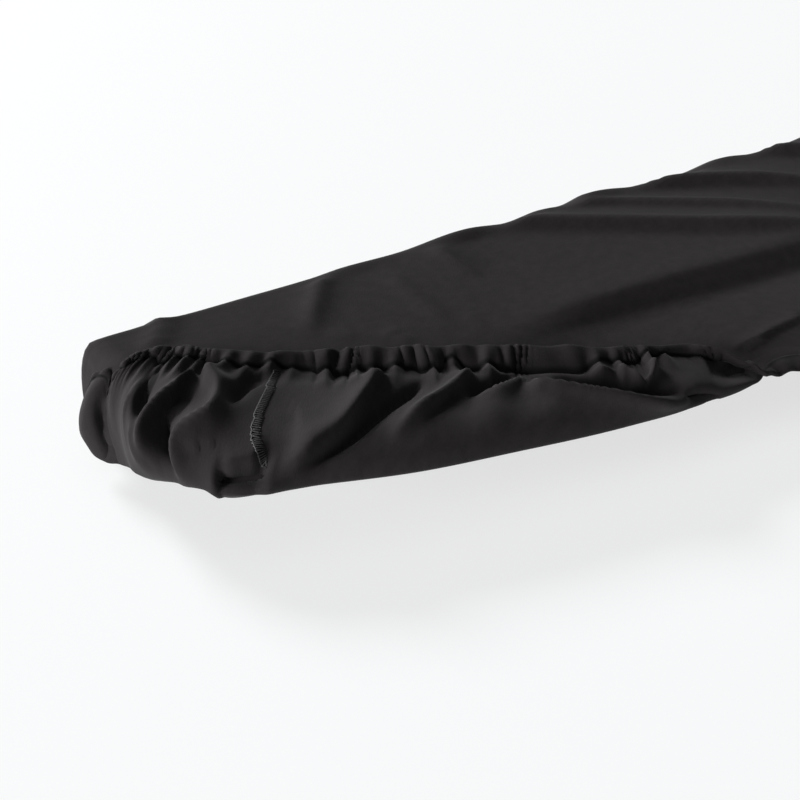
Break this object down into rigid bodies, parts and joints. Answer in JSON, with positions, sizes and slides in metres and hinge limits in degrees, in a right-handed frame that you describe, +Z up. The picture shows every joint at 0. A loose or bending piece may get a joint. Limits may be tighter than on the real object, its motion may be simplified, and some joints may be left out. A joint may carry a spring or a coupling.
{
  "type": "keyboard dust cover",
  "caption": "Fitted dust cover of thin black stretch cloth for an electronic keyboard, open below, with a cased elastic hem, its front left corner turned back over the top.",
  "frame": {"origin": "on the underside of the cover's top, at the middle of the fitted length and depth", "axes": "+X along the cover to the right as seen from the front, +Y from the front to the back, +Z up"},
  "size_m": [1.0077, 0.3094, 0.0929],
  "materials": {
    "stretch_cloth": "matte charcoal stretch knit"
  },
  "bodies": {
    "root": {"cover": "stretch_cloth"}
  },
  "joints": []
}
